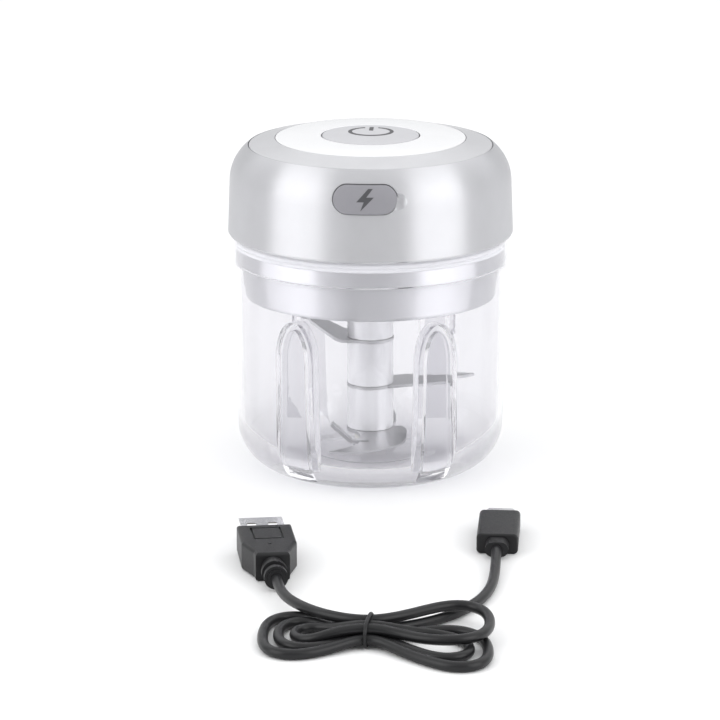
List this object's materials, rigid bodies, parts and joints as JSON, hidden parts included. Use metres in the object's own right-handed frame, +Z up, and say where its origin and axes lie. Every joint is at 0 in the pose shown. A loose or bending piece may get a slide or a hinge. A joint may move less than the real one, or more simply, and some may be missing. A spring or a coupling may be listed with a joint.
{
  "type": "food processor",
  "caption": "Cordless mini food processor: clear bowl with arched flutes, lift-off motor head, pull-out blade stack, press button, hinged port cover and a tied USB charging cable.",
  "frame": {"origin": "middle of the bowl's flat underside, on the surface that it stands on", "axes": "+Z up along the drive axis, -Y towards the charging port and the cable"},
  "size_m": [0.0858, 0.2289, 0.0989],
  "materials": {
    "clear_bowl": "clear, glossy",
    "pearl_white": "pearl white, glossy",
    "satin_silver": "silver metallic paint, satin",
    "trim_grey": "light grey, satin gloss",
    "panel_white": "white, glossy",
    "button_grey": "light grey, satin",
    "mark_grey": "dark grey, matt",
    "silicone_grey": "mid grey silicone, matt",
    "silicone_white": "white silicone, satin",
    "column_white": "off-white, satin",
    "stainless": "brushed stainless steel",
    "plated_steel": "nickel-plated steel, bright",
    "motor_steel": "zinc-plated steel, satin",
    "bronze": "sintered bronze, satin",
    "copper": "copper, bright",
    "gold": "gold-plated contacts",
    "magnet_grey": "ferrite, matt",
    "nylon_white": "natural nylon, matt",
    "board_green": "green solder mask, satin",
    "chip_black": "black epoxy, matt",
    "cell_wrap": "blue shrink wrap, satin",
    "black_rubber": "black, matt",
    "black_plastic": "black, satin",
    "cord_black": "black PVC, satin"
  },
  "bodies": {
    "bowl": {"bowl": "clear_bowl", "blade_pin": "stainless", "usb_a_relief": "black_rubber", "usb_a_body": "black_plastic", "usb_a_shell": "plated_steel", "usb_a_tongue": "nylon_white", "usb_a_contacts": "gold", "usb_c_relief": "black_rubber", "usb_c_body": "black_plastic", "usb_c_shell": "plated_steel", "usb_c_insert": "chip_black", "cord_hank": "cord_black", "cord_tie": "black_plastic", "cord_lead_a": "cord_black", "cord_lead_c": "cord_black"},
    "motor_head": {"housing_shell": "pearl_white", "top_trim_ring": "trim_grey", "top_panel": "panel_white", "seal_ring": "silicone_white", "lower_housing": "satin_silver", "shaft_seal": "black_rubber", "housing_screws": "stainless", "motor_can": "motor_steel", "motor_end_cap": "nylon_white", "motor_magnets": "magnet_grey", "motor_gasket": "black_rubber", "motor_screws": "stainless", "motor_leads": "copper", "battery_cell": "cell_wrap", "battery_holder": "black_plastic", "battery_tabs": "plated_steel", "circuit_board": "board_green", "board_parts": "chip_black", "board_screws": "stainless", "charge_socket": "plated_steel", "socket_tongue": "chip_black", "switch_body": "chip_black"},
    "drive": {"motor_shaft": "stainless", "motor_rotor": "motor_steel", "commutator": "copper", "drive_coupling": "nylon_white"},
    "blade_stack": {"blade_shaft": "nylon_white", "pin_bush": "bronze", "column_bottom": "column_white", "column_middle": "column_white", "column_top": "column_white", "blade_top": "stainless", "blade_middle": "stainless", "blade_bottom": "stainless"},
    "button": {"power_button": "button_grey", "power_mark": "mark_grey", "switch_plunger": "nylon_white", "return_dome": "silicone_white"},
    "cover": {"port_cover": "silicone_grey", "charge_mark": "mark_grey"}
  },
  "joints": [
    {"name": "head_lift", "type": "slide", "parent": "bowl", "child": "motor_head", "axis": [0, 0, 1], "range_m": [0, 0.16]},
    {"name": "drive_spin", "type": "hinge", "parent": "motor_head", "child": "drive", "pos_m": [0, 0, 0.06], "axis": [0, 0, 1], "continuous": true},
    {"name": "blade_pull", "type": "slide", "parent": "drive", "child": "blade_stack", "axis": [0, 0, -1], "range_m": [0, 0.08]},
    {"name": "button_press", "type": "slide", "parent": "motor_head", "child": "button", "axis": [0, 0, -1], "range_m": [0, 0.0012], "stiffness_N_per_m": 1500, "springref_m": -0.0004, "deforming": ["return_dome"]},
    {"name": "cover_swing", "type": "hinge", "parent": "motor_head", "child": "cover", "pos_m": [-0.009, -0.04039, 0.0881], "axis": [0, 0, -1], "range_deg": [0, 110]}
  ],
  "couplings": [
    {"joint": "blade_pull", "follows": "head_lift", "ratio": 0.5}
  ]
}
